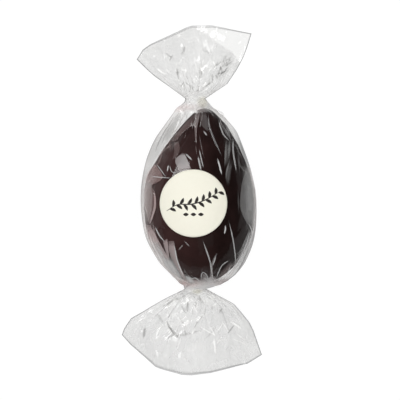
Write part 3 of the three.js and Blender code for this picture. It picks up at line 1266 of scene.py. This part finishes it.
@dataclass
class Folds:
    """The folds that lie on the film, as one piece of film.

    The main folds are listed as lines in plan. Bands and streaks follow the body's outline,
    and the small crinkles and the fans' creases are scattered with a fixed seed.
    """

    wrapper: "Wrapper"
    drawing: Drawing
    film: bpy.types.Object
    clearance: float = 0.14
    upper_count: int = 60
    under_count: int = 120
    seed: int = 23
    fan_count: int = 64
    pleats: tuple[Flap, ...] = (
        # on the right of the middle
        pleat(((2.0, 24.0), (2.5, 20.5)), 0.5, 0.4, Cloud.FAINT),
        pleat(((3.0, 19.5), (3.5, 17.0), (4.5, 12.5)), 0.9, 0.5, Cloud.CLOUDY),
        pleat(((3.5, 22.5), (4.5, 18.0), (5.5, 14.0)), 0.7, 0.5, Cloud.CLOUDY),
        pleat(((3.5, 29.0), (5.5, 18.5)), 0.5, 0.3, Cloud.FAINT),
        pleat(((5.5, 30.5), (7.0, 28.5)), 0.8, 0.5, Cloud.CLOUDY),
        pleat(((7.5, 38.5), (8.0, 33.0), (10.0, 27.0), (13.5, 19.5)), 0.8, 0.4, Cloud.THIN),
        pleat(((11.5, 18.5), (12.5, 15.0), (13.5, 11.0)), 0.9, 0.6, Cloud.MILKY),
        pleat(((12.0, 35.5), (14.0, 29.5), (17.0, 26.0)), 0.7, 0.4, Cloud.CLOUDY),
        pleat(((18.5, 28.0), (18.5, 22.0), (19.0, 18.0), (20.0, 12.0)), 0.8, 0.4, Cloud.CLOUDY),
        # on the left of the middle
        pleat(((1.0, 38.0), (-4.5, 33.5), (-9.5, 27.0), (-13.0, 21.5), (-16.0, 16.5)), 0.7, 0.3,
              Cloud.THIN),
        pleat(((-2.5, 20.5), (0.5, 17.5)), 0.9, 0.4, Cloud.CLOUDY),
        pleat(((-10.0, 15.5), (-10.5, 12.5)), 0.6, 0.4, Cloud.MILKY),
        pleat(((-9.5, 15.5), (-8.5, 12.5), (-6.0, 12.0)), 0.5, 0.4, Cloud.CLOUDY),
        pleat(((-15.5, 16.0), (-13.5, 13.5), (-11.0, 10.0)), 0.5, 0.3, Cloud.CLOUDY),
        pleat(((-18.5, 10.5), (-13.0, 10.0), (-8.0, 9.5)), 0.5, 0.3, Cloud.CLOUDY),
        pleat(((-11.5, 26.0), (-13.5, 20.0)), 0.5, 0.2, Cloud.THIN),
        pleat(((-16.0, -11.5), (-14.0, -15.5), (-11.5, -18.5)), 0.7, 0.4, Cloud.CLOUDY),
        pleat(((-7.5, -19.0), (-6.0, -27.0), (-3.0, -34.5)), 0.6, 0.4, Cloud.MILKY),
        pleat(((-3.0, -18.0), (-0.5, -20.5)), 0.6, 0.3, Cloud.THIN),
        pleat(((-3.5, -19.5), (-5.5, -22.0)), 0.6, 0.3, Cloud.THIN),
        # up from the lower neck
        pleat(((5.0, -17.5), (7.0, -23.0), (8.5, -28.0), (9.5, -35.5)), 0.7, 0.4, Cloud.CLOUDY),
        pleat(((11.0, -24.5), (9.5, -29.0)), 0.6, 0.4, Cloud.CLOUDY),
        pleat(((17.0, -26.5), (13.5, -29.0), (11.0, -34.5)), 0.6, 0.4, Cloud.CLOUDY),
        pleat(((17.5, -29.0), (15.5, -33.0), (11.5, -35.5)), 0.6, 0.3, Cloud.CLOUDY),
        pleat(((-0.5, -35.0), (2.0, -34.5), (4.0, -36.5)), 0.6, 0.4, Cloud.CLOUDY),
        pleat(((4.5, -36.0), (4.5, -33.0), (5.5, -32.0), (7.0, -33.5), (7.0, -36.5)), 0.5, 0.4,
              Cloud.CLOUDY),
        # along the lower right
        pleat(((15.0, -11.0), (15.0, -13.0), (14.5, -15.0)), 0.8, 0.6, Cloud.MILKY),
        pleat(((16.5, -9.0), (18.5, -18.0), (19.5, -26.5), (18.5, -29.5)), 0.6, 0.4, Cloud.CLOUDY),
        pleat(((25.0, -10.0), (26.5, -13.0), (27.0, -17.0)), 0.5, 0.3, Cloud.CLOUDY),
        pleat(((26.0, -13.0), (24.5, -19.0), (21.0, -27.0), (16.0, -34.0)), 0.6, 0.3, Cloud.CLOUDY),
    )
    smears: tuple[Flap, ...] = (
        smear(((15.5, 28.0), (15.0, 18.0), (14.5, 13.5)), 1.2, Cloud.THIN),
        smear(((17.0, 27.5), (16.5, 17.0)), 1.4, Cloud.THIN),
        smear(((20.5, 23.5), (21.5, 10.5)), 1.2, Cloud.FAINT),
        smear(((15.0, 33.5), (17.5, 28.5)), 1.8, Cloud.THIN),
        smear(((20.5, 6.0), (21.0, -7.0)), 0.9, Cloud.FAINT),
        smear(((17.5, 19.5), (15.5, 12.0), (15.5, 7.0)), 1.1, Cloud.THIN),
    )
    flaps: tuple[Flap, ...] = (
        # two tongues under the upper neck
        Flap(((2.0, 39.0), (1.5, 32.0), (2.0, 25.0)), ((4.0, 39.0), (2.5, 31.0), (2.5, 25.0)), 0.3,
             Cloud.THIN, 0.1),
        Flap(((4.0, 38.5), (4.0, 34.0), (7.0, 30.5)), ((6.5, 38.5), (7.5, 34.0), (7.5, 30.5)), 0.3,
             Cloud.FAINT),
        # the upper right
        Flap(((12.5, 34.5), (14.0, 31.5), (16.5, 27.0)), ((13.5, 34.0), (15.5, 31.0), (18.0, 27.5)),
             0.3, Cloud.THIN, soft=True),
        Flap(((14.5, 27.0), (14.5, 14.0)), ((18.5, 27.0), (16.0, 14.5)), 0.3, Cloud.FAINT, soft=True),
        # the cloudy area on the right, with a clear border towards the middle
        Flap(((25.0, 16.0), (22.5, 8.0), (21.5, 0.0), (22.0, -5.0), (25.5, -12.0)), ((26.0, 16.0),
             (27.5, 8.0), (28.0, 0.0), (28.0, -5.0), (27.5, -12.0)), 0.15, Cloud.THIN),
        Flap(((17.0, 18.0), (15.5, 12.0), (15.5, 6.0)), ((18.5, 18.0), (17.5, 12.0), (16.5, 6.0)),
             0.3, Cloud.FAINT, soft=True),
        # the upper left
        Flap(((2.0, 38.5), (-4.0, 32.5), (-9.0, 26.0)), ((2.0, 33.5), (-2.5, 31.0), (-7.0, 26.0)),
             0.1, Cloud.FAINT),
        Flap(((-7.5, 25.5), (-7.5, 20.5), (-8.5, 18.0)), ((-5.5, 26.0), (-5.0, 22.0), (-7.0, 18.0)),
             0.3, Cloud.FAINT),
        Flap(((-4.0, 20.5), (-7.0, 17.5), (-5.0, 12.5)), ((-3.0, 20.5), (-1.5, 17.5), (0.0, 13.5)),
             0.15, Cloud.CLOUDY),
        Flap(((-20.5, 8.0), (-19.5, 12.0), (-16.0, 16.0)), ((-17.5, 6.5), (-12.5, 10.0), (-16.0, 16.0)),
             0.2, Cloud.THIN),
        # the long loop on the left, and its bright border
        Flap(((-20.5, 7.5), (-21.0, 0.5), (-19.0, -9.5)), ((-17.5, 7.0), (-16.0, 0.0), (-18.5, -10.0)),
             0.2, Cloud.FAINT),
        Flap(((-16.5, 4.0), (-16.5, -3.0), (-18.5, -10.0)), ((-16.0, 4.0), (-15.5, -3.0), (-18.0, -10.5)),
             0.3, Cloud.CLOUDY, 0.1),
        # the crumpled folds at the lower left
        Flap(((-20.0, -11.0), (-17.5, -20.0), (-8.0, -34.5)), ((-18.0, -11.0), (-14.0, -18.5),
             (-5.5, -33.5)), 0.1, Cloud.CLOUDY),
        Flap(((-12.5, -18.0), (-10.0, -27.0)), ((-10.5, -17.0), (-9.5, -27.0)), 0.1, Cloud.CLOUDY, 0.05),
        Flap(((-10.0, -18.0), (-9.0, -25.0), (-3.0, -36.0)), ((-7.5, -18.0), (-6.5, -25.0),
             (-1.5, -36.5)), 0.1, Cloud.CLOUDY),
        # bunched film around the lower neck
        Flap(((4.5, -36.5), (5.0, -32.5)), ((7.0, -36.5), (6.5, -32.5)), 0.3, Cloud.THIN),
        Flap(((8.5, -36.0), (8.5, -29.0), (11.0, -23.5)), ((10.0, -36.0), (9.5, -29.0), (11.5, -23.5)),
             0.3, Cloud.THIN),
        Flap(((11.0, -35.0), (14.0, -31.0), (17.5, -27.0)), ((12.0, -35.5), (16.0, -32.0),
             (18.0, -28.0)), 0.3, Cloud.FAINT),
        Flap(((-3.5, -32.5), (-2.0, -37.5)), ((0.0, -33.5), (3.0, -37.5)), 0.05, Cloud.MILKY, soft=True),
        Flap(((5.5, -33.5), (4.0, -37.5)), ((11.0, -33.5), (13.0, -37.0)), 0.05, Cloud.CLOUDY, soft=True),
        # the long fold at the lower right, and the cloudy tip under the upper neck
        Flap(((25.5, -13.0), (23.0, -19.0), (17.0, -32.5), (13.5, -35.0)), ((26.0, -13.0),
             (26.0, -18.0), (18.5, -32.5), (15.0, -35.5)), 0.15, Cloud.THIN),
        Flap(((3.0, 42.5), (0.5, 38.5)), ((7.5, 42.5), (11.0, 38.5)), 0.05, Cloud.THIN, soft=True),
    )
    bands: tuple[Band, ...] = (
        Band(0.80, 0.96, 16.0, -13.0, Cloud.THIN),
        Band(0.80, 0.93, -18.0, -31.0, Cloud.THIN),
        Band(-0.96, -0.76, -17.0, -36.0, Cloud.MILKY),
        Band(-0.90, -0.60, -24.0, -36.5, Cloud.MILKY),
    )
    # Streaks down the body: creases with a painted highlight or painted shade.
    streaks: tuple[Streak, ...] = (
        Streak(-0.86, 38.0, 20.0, 0.7, shade=0.3),
        Streak(-0.79, 35.0, 24.0, 1.2, shade=0.15),
        Streak(-0.72, 39.0, 25.0, 4.0, shade=0.15),
        Streak(-0.91, 38.0, 23.0, 1.1, gleam=0.35),
        Streak(-0.68, 37.0, 28.0, 0.8, gleam=0.25),
        Streak(0.94, 28.0, 6.0, 1.2, shade=0.25),
        Streak(0.88, 36.0, 28.0, 1.0, gleam=0.3),
        Streak(0.93, -20.0, -33.0, 0.6, shade=0.4),
        Streak(-0.90, -14.0, -30.0, 0.7, gleam=0.35),
    )

    def surface(self, x: np.ndarray, y: np.ndarray, side: float) -> np.ndarray:
        """Points of the taut film at places in plan: its upper side, or its underside for -1."""
        height = side * self.wrapper.top(x, y)
        return np.stack([x, y, np.maximum(height, self.wrapper.underside + 0.3)], axis=-1)

    def build(self) -> bpy.types.Object:
        """Makes the folds' mesh."""
        rng = np.random.default_rng(self.seed)
        folds = [(fold, 1.0) for fold in self.pleats + self.smears + self.flaps]
        folds += [(self._band(band), 1.0) for band in self.bands]
        folds += [(self._streak(streak), 1.0) for streak in self.streaks]
        folds += [(fold, 1.0) for fold in self._crinkles(rng, self.upper_count, 1.0)]
        folds += [(fold, -1.0) for fold in self._crinkles(rng, self.under_count, -1.0)]
        for fan in (UPPER_FAN, LOWER_FAN):
            folds += [(fold, 1.0) for fold in self._fan_creases(rng, fan)]
        points, faces, looks, count = [], [], [], 0
        for fold, side in folds:
            spots, corners, look = self._fold(fold, side)
            points.append(spots)
            faces.append(corners + count)
            looks.append(look)
            count += len(spots)
        spots = np.vstack(points)
        haze, gleam, shade, warm, clinging = np.hstack(looks)
        return mesh_piece(
            "film_folds", spots, np.vstack(faces), self.drawing, FilmFinish().make(), Slot.FILM,
            haze=haze, gleam=gleam, shade=shade, warmth=warm, cling=clinging,
        )

    @cached_property
    def _tree(self) -> BVHTree:
        """The film's faces, for finding heights on the fans."""
        mesh = self.film.data
        return BVHTree.FromPolygons([v.co for v in mesh.vertices], [p.vertices for p in mesh.polygons])

    def _on_fan(self, x: np.ndarray, y: np.ndarray) -> np.ndarray:
        """Points of a fan's upper film at places in plan."""
        spots = np.stack([x, y, np.full(x.shape, 60.0)], axis=-1)
        for index in np.ndindex(x.shape):
            start = Vector(self.drawing.place(spots[index]))
            hit = self._tree.ray_cast(start, Vector((0, 0, -1)))[0]
            spots[index][2] = self.drawing.back(hit).z if hit else 0.0
        return spots

    def _down_body(self, share: float, top: float, foot: float, knots: int = 7) -> Line:
        """Makes a line down the body at one share of its half width.

        Args:
            share: -1 on the left outline, 0 on the centre line and 1 on the right outline.
            top: y of its first point.
            foot: y of its last point.
            knots: how many points it has.

        Returns:
            The line in plan.
        """
        y = np.linspace(top, foot, knots)
        edge = self.wrapper.right_edge(y) if share > 0 else self.wrapper.left_edge(y)
        x = blend(self.wrapper.middle(y), edge, abs(share))
        return tuple(zip(x.tolist(), y.tolist()))

    def _band(self, band: Band) -> Flap:
        """Makes the fold of a band."""
        left = self._down_body(band.first, band.top, band.foot)
        right = self._down_body(band.second, band.top, band.foot)
        return Flap(left, right, band.height, band.haze, soft=True)

    def _streak(self, streak: Streak) -> Pleat:
        """Makes the crease of a streak."""
        line = self._down_body(streak.share, streak.top, streak.foot)
        return crease(line, streak.width, streak.gleam, streak.shade)

    def _fan_creases(self, rng: np.random.Generator, fan: Fan) -> list[Pleat]:
        """Scatters creases over a fan; most of them run out from its neck.

        Args:
            rng: source of their places and looks.
            fan: the fan they lie on.

        Returns:
            The creases.
        """
        found: list[Pleat] = []
        for _ in range(self.fan_count):
            ramp = np.linspace(0.0, 1.0, 4)
            reach = rng.uniform(0.12, 0.75) + rng.uniform(0.05, 0.17) * ramp
            across = rng.uniform(0.12, 0.88) + rng.normal(0.0, 0.06) * ramp
            x, y = fan.plan(reach, np.clip(across, 0.09, 0.91))
            # Each crease gets either a painted highlight or painted shade.
            strength, lit = rng.uniform(0.25, 0.9), rng.uniform() < 0.6
            gleam, shade = (strength, 0.0) if lit else (0.0, 0.35 * strength)
            line = tuple(zip(x.tolist(), y.tolist()))
            found.append(crease(line, rng.uniform(0.5, 1.3), gleam, shade))
        return found

    def _crinkles(self, rng: np.random.Generator, count: int, side: float) -> list[Pleat]:
        """Scatters small creases that run roughly from neck to neck.

        Args:
            rng: source of their places and sizes.
            count: how many to make.
            side: 1 for the upper side and -1 for the underside.

        Returns:
            The creases.
        """
        low, high = (self.drawing.back(c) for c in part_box(Node.LABEL.value))
        label_x, label_y = (low.x + high.x) / 2, (low.y + high.y) / 2
        found: list[Pleat] = []
        while len(found) < count:
            y, turn = rng.uniform(-35.0, 40.0), rng.uniform(-1.45, 1.45)
            length, drift = rng.uniform(2.0, 7.0), rng.normal(0.0, 0.05)
            keep, width = rng.uniform(), rng.uniform(0.35, 0.7)
            share = np.linspace(-0.5, 0.5, 4)
            along = np.clip(y + length * share, -38.0, 44.0)
            across = turn + length * drift * share + rng.normal(0.0, 0.012, 4)
            x = self.wrapper.middle(along) + self.wrapper.half_height(along) * np.sin(across)
            away = np.hypot(x - label_x, along - label_y).min()
            if side > 0 and (away < 17.0 or abs(turn) < 0.95 or keep > 0.7):
                continue
            line = tuple(zip(x.tolist(), along.tolist()))
            found.append(pleat(line, width, width * 0.45, rng.uniform(0.03, 0.14)))
        return found

    def _fold(self, fold: Flap, side: float) -> tuple[np.ndarray, np.ndarray, np.ndarray]:
        """Makes one fold, raised straight up so that its outline in plan stays as drawn.

        Args:
            fold: its lines and look.
            side: 1 for the upper side and -1 for the underside.

        Returns:
            Its points, its faces, and its haze, painted glint, painted shade, painted brown light and
            cling, one to a row.
        """
        across = np.sin(np.linspace(-math.pi / 2, math.pi / 2, 13)) / 2 + 0.5
        length = np.linalg.norm(np.diff(np.array(fold.left), axis=0), axis=1).sum()
        along = np.linspace(0, 1, max(8, int(length / 0.4)))
        first, second = fold.sides(along)
        plan = first[:, None] + (second - first)[:, None] * across[None, :, None]
        x, y = plan[..., 0], plan[..., 1]
        if self.wrapper.lower_neck < fold.left[0][1] < self.wrapper.upper_neck:
            base = self.surface(x, y, side)
            step = 0.05
            run_x = self.surface(x + step, y, side) - self.surface(x - step, y, side)
            run_y = self.surface(x, y + step, side) - self.surface(x, y - step, side)
            normal = side * np.cross(run_x, run_y)
            normal /= np.linalg.norm(normal, axis=-1, keepdims=True)
        else:
            base, normal = self._on_fan(x, y), np.array([0.0, 0.0, 1.0])
        taper = smooth(along / 0.15) * smooth((1 - along) / 0.15)
        height = fold.height * fold.profile(across)[None] * taper[:, None]
        spots = base + normal * self.clearance
        spots[..., 2] += side * height
        rows, columns = spots.shape[:2]
        row, column = np.mgrid[0 : rows - 1, 0 : columns - 1]
        corner = row * columns + column
        faces = np.stack([corner, corner + 1, corner + columns + 1, corner + columns], -1)
        bell = taper[:, None] * (1 - (2 * across - 1) ** 2)
        fade = smooth(np.minimum(along, 1 - along) / 0.35) if fold.soft else 0.4 + 0.6 * taper
        cloud = fold.cloud(across)[None] * fade[:, None]
        # Painted shade across the fold, and painted dark lines along a cloudy fold's borders.
        shade = fold.shade * bell
        if fold.haze and not fold.soft:
            shade[:, 0] = shade[:, -1] = 0.33
        # Painted brown light, on the upper side only.
        warm = warmth(x, y) * (side > 0) * fold.brown
        looks = (cloud, fold.gleam * bell, shade, warm, cling(x, y))
        looks = np.stack([look.ravel() for look in looks])
        return spots.reshape(-1, 3), faces.reshape(-1, 4), looks


# ------------------------------------------------------------------------------------------
# The label
# ------------------------------------------------------------------------------------------


@dataclass
class Label:
    """The round sticker on the film, printed with a leafy sprig over three lozenges.

    Shift is how far it lies from the middle of the solid label, and spread its size against it.
    """

    wrapper: Wrapper
    drawing: Drawing
    thickness: float = 0.12
    glue: float = 0.12
    ink: float = 0.03
    stem: Line = ((-11.8, -3.4), (-7.0, -0.6), (-1.0, -0.4), (5.0, 1.4), (11.6, 5.2))
    lozenges: tuple[float, ...] = (-3.3, 0.0, 3.3)
    lozenge_row: float = -4.9
    shift: tuple[float, float] = (0.1, -0.1)
    spread: float = 1.007

    @property
    def centre(self) -> tuple[float, float]:
        """Middle of the label in plan."""
        low, high = (self.drawing.back(c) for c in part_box(Node.LABEL.value))
        return (low.x + high.x) / 2 + self.shift[0], (low.y + high.y) / 2 + self.shift[1]

    @property
    def radius(self) -> float:
        """Radius of the label in plan."""
        low, high = (self.drawing.back(c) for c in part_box(Node.LABEL.value))
        return self.spread * (high.x - low.x) / 2

    def on_paper(self, x: np.ndarray, y: np.ndarray, lift: float) -> np.ndarray:
        """Points over the film, one to a row, at places measured from the label's middle."""
        x, y = x + self.centre[0], y + self.centre[1]
        return np.stack([x, y, self.wrapper.top(x, y) + self.glue + lift], -1).reshape(-1, 3)

    def build(self, rings: int = 24, columns: int = 160) -> list[bpy.types.Object]:
        """Makes the sticker and its print.

        Args:
            rings: rings from the edge to the middle.
            columns: points in a ring.

        Returns:
            The sticker and the print.
        """
        angle = np.linspace(0, FULL_TURN, columns, endpoint=False)[None, :]
        reach = self.radius * np.linspace(1, 0, rings)[:, None]
        x, y = reach * np.sin(angle), reach * np.cos(angle)
        points = np.vstack([
            self.on_paper(x[:1], y[:1], 0.0),
            self.on_paper(x, y, self.thickness),
        ])
        faces = grid_faces(rings + 1, columns)[:, ::-1]
        paper = mesh_piece(
            "label_sticker", points, faces, self.drawing, PaperFinish().make(), Slot.PAPER,
        )
        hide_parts(Node.LABEL.value)
        return [paper, self._print()]

    def _print(self) -> bpy.types.Object:
        """Makes the printed sprig and lozenges as thin raised ink."""
        shapes = [self._stroke(np.array(self.stem), 0.5, 60, 0.3)]
        at = np.linspace(0.06, 0.97, 15)
        x, y = PlanCurve(self.stem)(at)
        ahead_x, ahead_y = PlanCurve(self.stem)(at + 0.01)
        heading = np.arctan2(ahead_y - y, ahead_x - x)
        for index in range(len(at)):
            side = 1 if index % 2 else -1
            size = 3.6 - 1.3 * abs(at[index] - 0.45)
            turn = heading[index] + side * 0.95
            tip = np.array([x[index] + size * math.cos(turn), y[index] + size * math.sin(turn)])
            bend = np.array([-math.sin(turn), math.cos(turn)]) * side * -0.35
            root = np.array([x[index], y[index]])
            shapes.append(self._stroke(np.array([root, (root + tip) / 2 + bend, tip]), 1.35, 14, 0.02))
        for place in self.lozenges:
            line = np.array([[place - 1.25, self.lozenge_row], [place + 1.25, self.lozenge_row]])
            shapes.append(self._stroke(line, 1.5, 9, 0.02))
        points, faces, count = [], [], 0
        for spots in shapes:
            rows, columns = spots.shape[:2]
            row, column = np.mgrid[0 : rows - 1, 0 : columns - 1]
            corner = row * columns + column + count
            quads = np.stack([corner, corner + 1, corner + columns + 1, corner + columns], -1)
            faces.append(quads.reshape(-1, 4))
            points.append(self.on_paper(spots[..., 0], spots[..., 1], self.thickness + self.ink))
            count += rows * columns
        return mesh_piece(
            "label_print", np.vstack(points), np.vstack(faces), self.drawing,
            InkFinish().make(), Slot.PAPER,
        )

    @staticmethod
    def _stroke(line: np.ndarray, width: float, rows: int, blunt: float) -> np.ndarray:
        """Makes one almond-shaped stroke.

        Args:
            line: its middle line, one point to a row.
            width: its greatest width.
            rows: points along it.
            blunt: share of the width left at its ends.

        Returns:
            Its points as rows of five across.
        """
        share = np.linspace(0, 1, rows)
        middle = np.stack(PlanCurve(tuple(map(tuple, line.tolist())))(share), 1)
        along = np.gradient(middle, axis=0)
        along /= np.linalg.norm(along, axis=1, keepdims=True)
        normal = np.stack([along[:, 1], -along[:, 0]], 1)
        half = width / 2 * (blunt + (1 - blunt) * np.sin(math.pi * share) ** 0.9)
        return middle[:, None] + normal[:, None] * (half[:, None] * np.linspace(-1, 1, 5))[..., None]


# ------------------------------------------------------------------------------------------
# The studio
# ------------------------------------------------------------------------------------------


@dataclass(frozen=True)
class SoftBox:
    """A rectangular light that looks at the object."""

    name: str
    place: tuple[float, float, float]
    width: float
    height: float
    radiance: float
    colour: Colour = (1.0, 1.0, 1.0)
    mirrored: bool = True

    def build(self, target: Vector) -> None:
        """Makes the light.

        Args:
            target: the point that the light faces.
        """
        data = bpy.data.lights.new(self.name, "AREA")
        data.shape = "RECTANGLE"
        data.size, data.size_y = self.width, self.height
        data.color = self.colour
        data.energy = self.radiance * math.pi * self.width * self.height
        light = bpy.data.objects.new(self.name, data)
        light.location = self.place
        light.rotation_euler = (target - Vector(self.place)).to_track_quat("-Z", "Y").to_euler()
        light.visible_camera = False
        light.visible_glossy = self.mirrored
        bpy.context.scene.collection.objects.link(light)


@dataclass(frozen=True)
class Studio:
    """White table, soft light, dark ceiling and the camera straight above."""

    boxes: tuple[SoftBox, ...] = (
        SoftBox("left_box", (-0.63, 0.57, 0.51), 0.55, 0.5, 3.2),
        SoftBox("upper_panel", (-0.45, 0.1, 0.95), 0.5, 0.7, 0.14, (1.0, 0.78, 0.75)),
        SoftBox("lower_panel", (0.25, -0.75, 0.8), 0.6, 0.3, 0.05),
        SoftBox("top_fill", (0.1, -0.1, 1.2), 1.2, 1.2, 3.3, mirrored=False),
    )
    table_size: float = 6.0
    lens: float = 360.0
    frame_width: float = 0.1784

    def build(self) -> None:
        """Makes the floor, the lights, the world and the camera."""
        low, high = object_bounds()
        centre = (low + high) / 2
        self._floor(low.z)
        for box in self.boxes:
            box.build(centre)
        self._world()
        self._camera(centre)

    def _floor(self, level: float) -> None:
        """Makes the white table."""
        half = self.table_size / 2
        mesh = bpy.data.meshes.new("table")
        corners = [(-half, -half, level), (half, -half, level), (half, half, level), (-half, half, level)]
        mesh.from_pydata(corners, [], [(0, 1, 2, 3)])
        mesh.materials.append(FloorFinish().make())
        floor = bpy.data.objects.new("table", mesh)
        bpy.context.scene.collection.objects.link(floor)
        floor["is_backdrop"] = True

    def _world(self) -> None:
        """Makes the dim room."""
        world = bpy.data.worlds.new("studio")
        world.use_nodes = True
        nodes, links = world.node_tree.nodes, world.node_tree.links
        mix = nodes.new("ShaderNodeMix")
        mix.data_type = "RGBA"
        mix.inputs[6].default_value = (0.02, 0.02, 0.02, 1.0)
        mix.inputs[7].default_value = (0.9, 0.9, 0.9, 1.0)
        links.new(nodes.new("ShaderNodeLightPath").outputs["Is Camera Ray"], mix.inputs[0])
        links.new(mix.outputs[2], nodes["Background"].inputs["Color"])
        bpy.context.scene.world = world

    def _camera(self, centre: Vector) -> None:
        """Makes the camera, straight above the object, with +Y up in its view."""
        data = bpy.data.cameras.new("camera")
        data.lens = self.lens
        distance = self.frame_width * data.lens / data.sensor_width
        camera = bpy.data.objects.new("camera", data)
        camera.location = (0.0036, 0.0, centre.z + distance)
        data.clip_start, data.clip_end = 0.05, 20.0
        bpy.context.scene.collection.objects.link(camera)
        bpy.context.scene.camera = camera
        bpy.context.scene.view_settings.view_transform = "Standard"
        bpy.context.scene.cycles.transparent_max_bounces = 48


def main() -> None:
    """Builds the pieces in order and reports each."""
    logging.basicConfig(level=logging.INFO, format="%(message)s")
    egg = Egg()
    drawing = Drawing.fitted(
        left=LOWER_FAN.left[-1][0], right=LOWER_FAN.right[-1][0], low=-77.9, high=77.98,
        under=egg.foot - egg.widest - 0.35,
    )
    wrapper = Wrapper(egg, drawing)
    film = wrapper.build()
    pieces = [
        egg.build(drawing),
        film,
        Folds(wrapper, drawing, film).build(),
        *Label(wrapper, drawing).build(),
    ]
    for piece in pieces:
        log.info("%s: %d faces", piece.name, len(piece.data.polygons))
    Studio().build()


if __name__ == "__main__":
    main()
